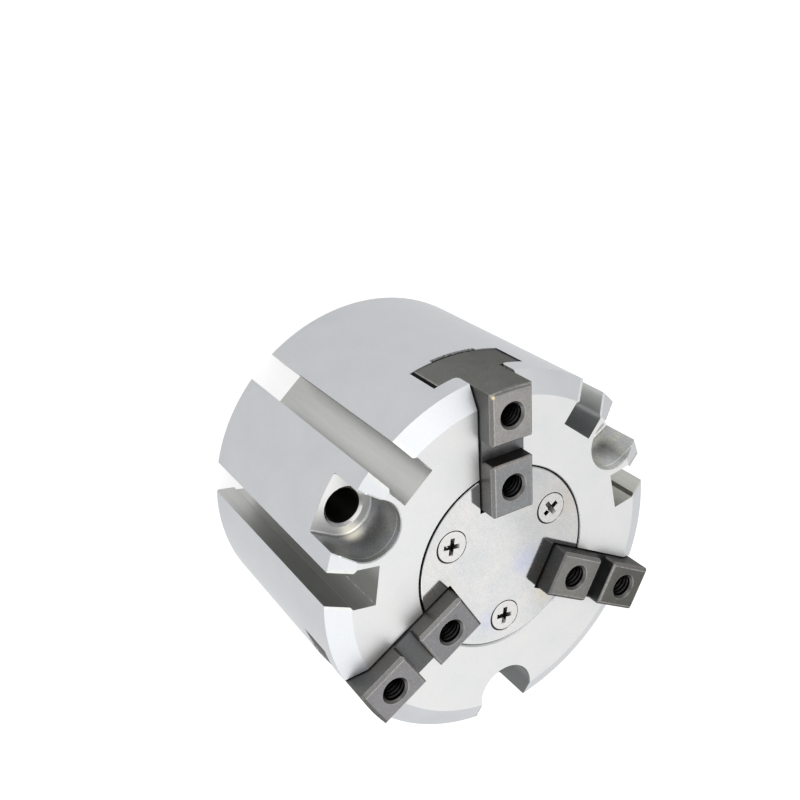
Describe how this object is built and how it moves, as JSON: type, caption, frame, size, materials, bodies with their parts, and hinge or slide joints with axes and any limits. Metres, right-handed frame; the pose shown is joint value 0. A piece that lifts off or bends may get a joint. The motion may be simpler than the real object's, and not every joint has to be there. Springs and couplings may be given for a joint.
{
  "type": "three jaw centric gripper",
  "caption": "Round pneumatic gripper with jaws that open and close together in radial guides, moved by a wedge cam on a piston inside.",
  "frame": {"origin": "centre of the rear mounting face", "axes": "+Z along the gripper's axis, out through the jaws; jaw a lies towards +Y, jaws b and c at 210 and 330 degrees from +X"},
  "size_m": [0.07, 0.07, 0.0526],
  "materials": {
    "body": "satin hard anodised",
    "plate": "ground stainless steel",
    "screws": "bright stainless steel",
    "jaws": "dark hardened carbon steel",
    "cam": "hardened carbon steel",
    "piston": "hard anodised",
    "bolt": "blackened alloy steel",
    "seals": "nitrile rubber",
    "magnet": "rubber bonded magnet",
    "wear_ring": "filled resin",
    "bumpers": "urethane",
    "cap": "turned and clear anodised",
    "ring": "phosphated spring steel"
  },
  "bodies": {
    "housing": {"body": "body", "cover_plate": "plate", "cover_screw_a": "screws", "cover_screw_b": "screws", "cover_screw_c": "screws", "rod_seal": "seals", "front_bumper": "bumpers", "rear_bumper": "bumpers", "rear_cap": "cap", "cap_gasket": "seals", "retaining_ring": "ring"},
    "drive": {"wedge_cam": "cam", "piston": "piston", "piston_bolt": "bolt", "bolt_washer": "screws", "bolt_seal": "seals", "piston_seal": "seals", "magnet_ring": "magnet", "wear_ring": "wear_ring"},
    "finger_a": {"jaw_a": "jaws"},
    "finger_b": {"jaw_b": "jaws"},
    "finger_c": {"jaw_c": "jaws"}
  },
  "joints": [
    {"name": "piston_slide", "type": "slide", "parent": "housing", "child": "drive", "axis": [0, 0, 1], "range_m": [0, 0.006]},
    {"name": "jaw_a_slide", "type": "slide", "parent": "housing", "child": "finger_a", "axis": [0, 1, 0], "range_m": [0, 0.006]},
    {"name": "jaw_b_slide", "type": "slide", "parent": "housing", "child": "finger_b", "axis": [-0.866, -0.5, 0], "range_m": [0, 0.006]},
    {"name": "jaw_c_slide", "type": "slide", "parent": "housing", "child": "finger_c", "axis": [0.866, -0.5, 0], "range_m": [0, 0.006]}
  ],
  "couplings": [
    {"joint": "jaw_a_slide", "follows": "piston_slide", "ratio": 1},
    {"joint": "jaw_b_slide", "follows": "piston_slide", "ratio": 1},
    {"joint": "jaw_c_slide", "follows": "piston_slide", "ratio": 1}
  ]
}
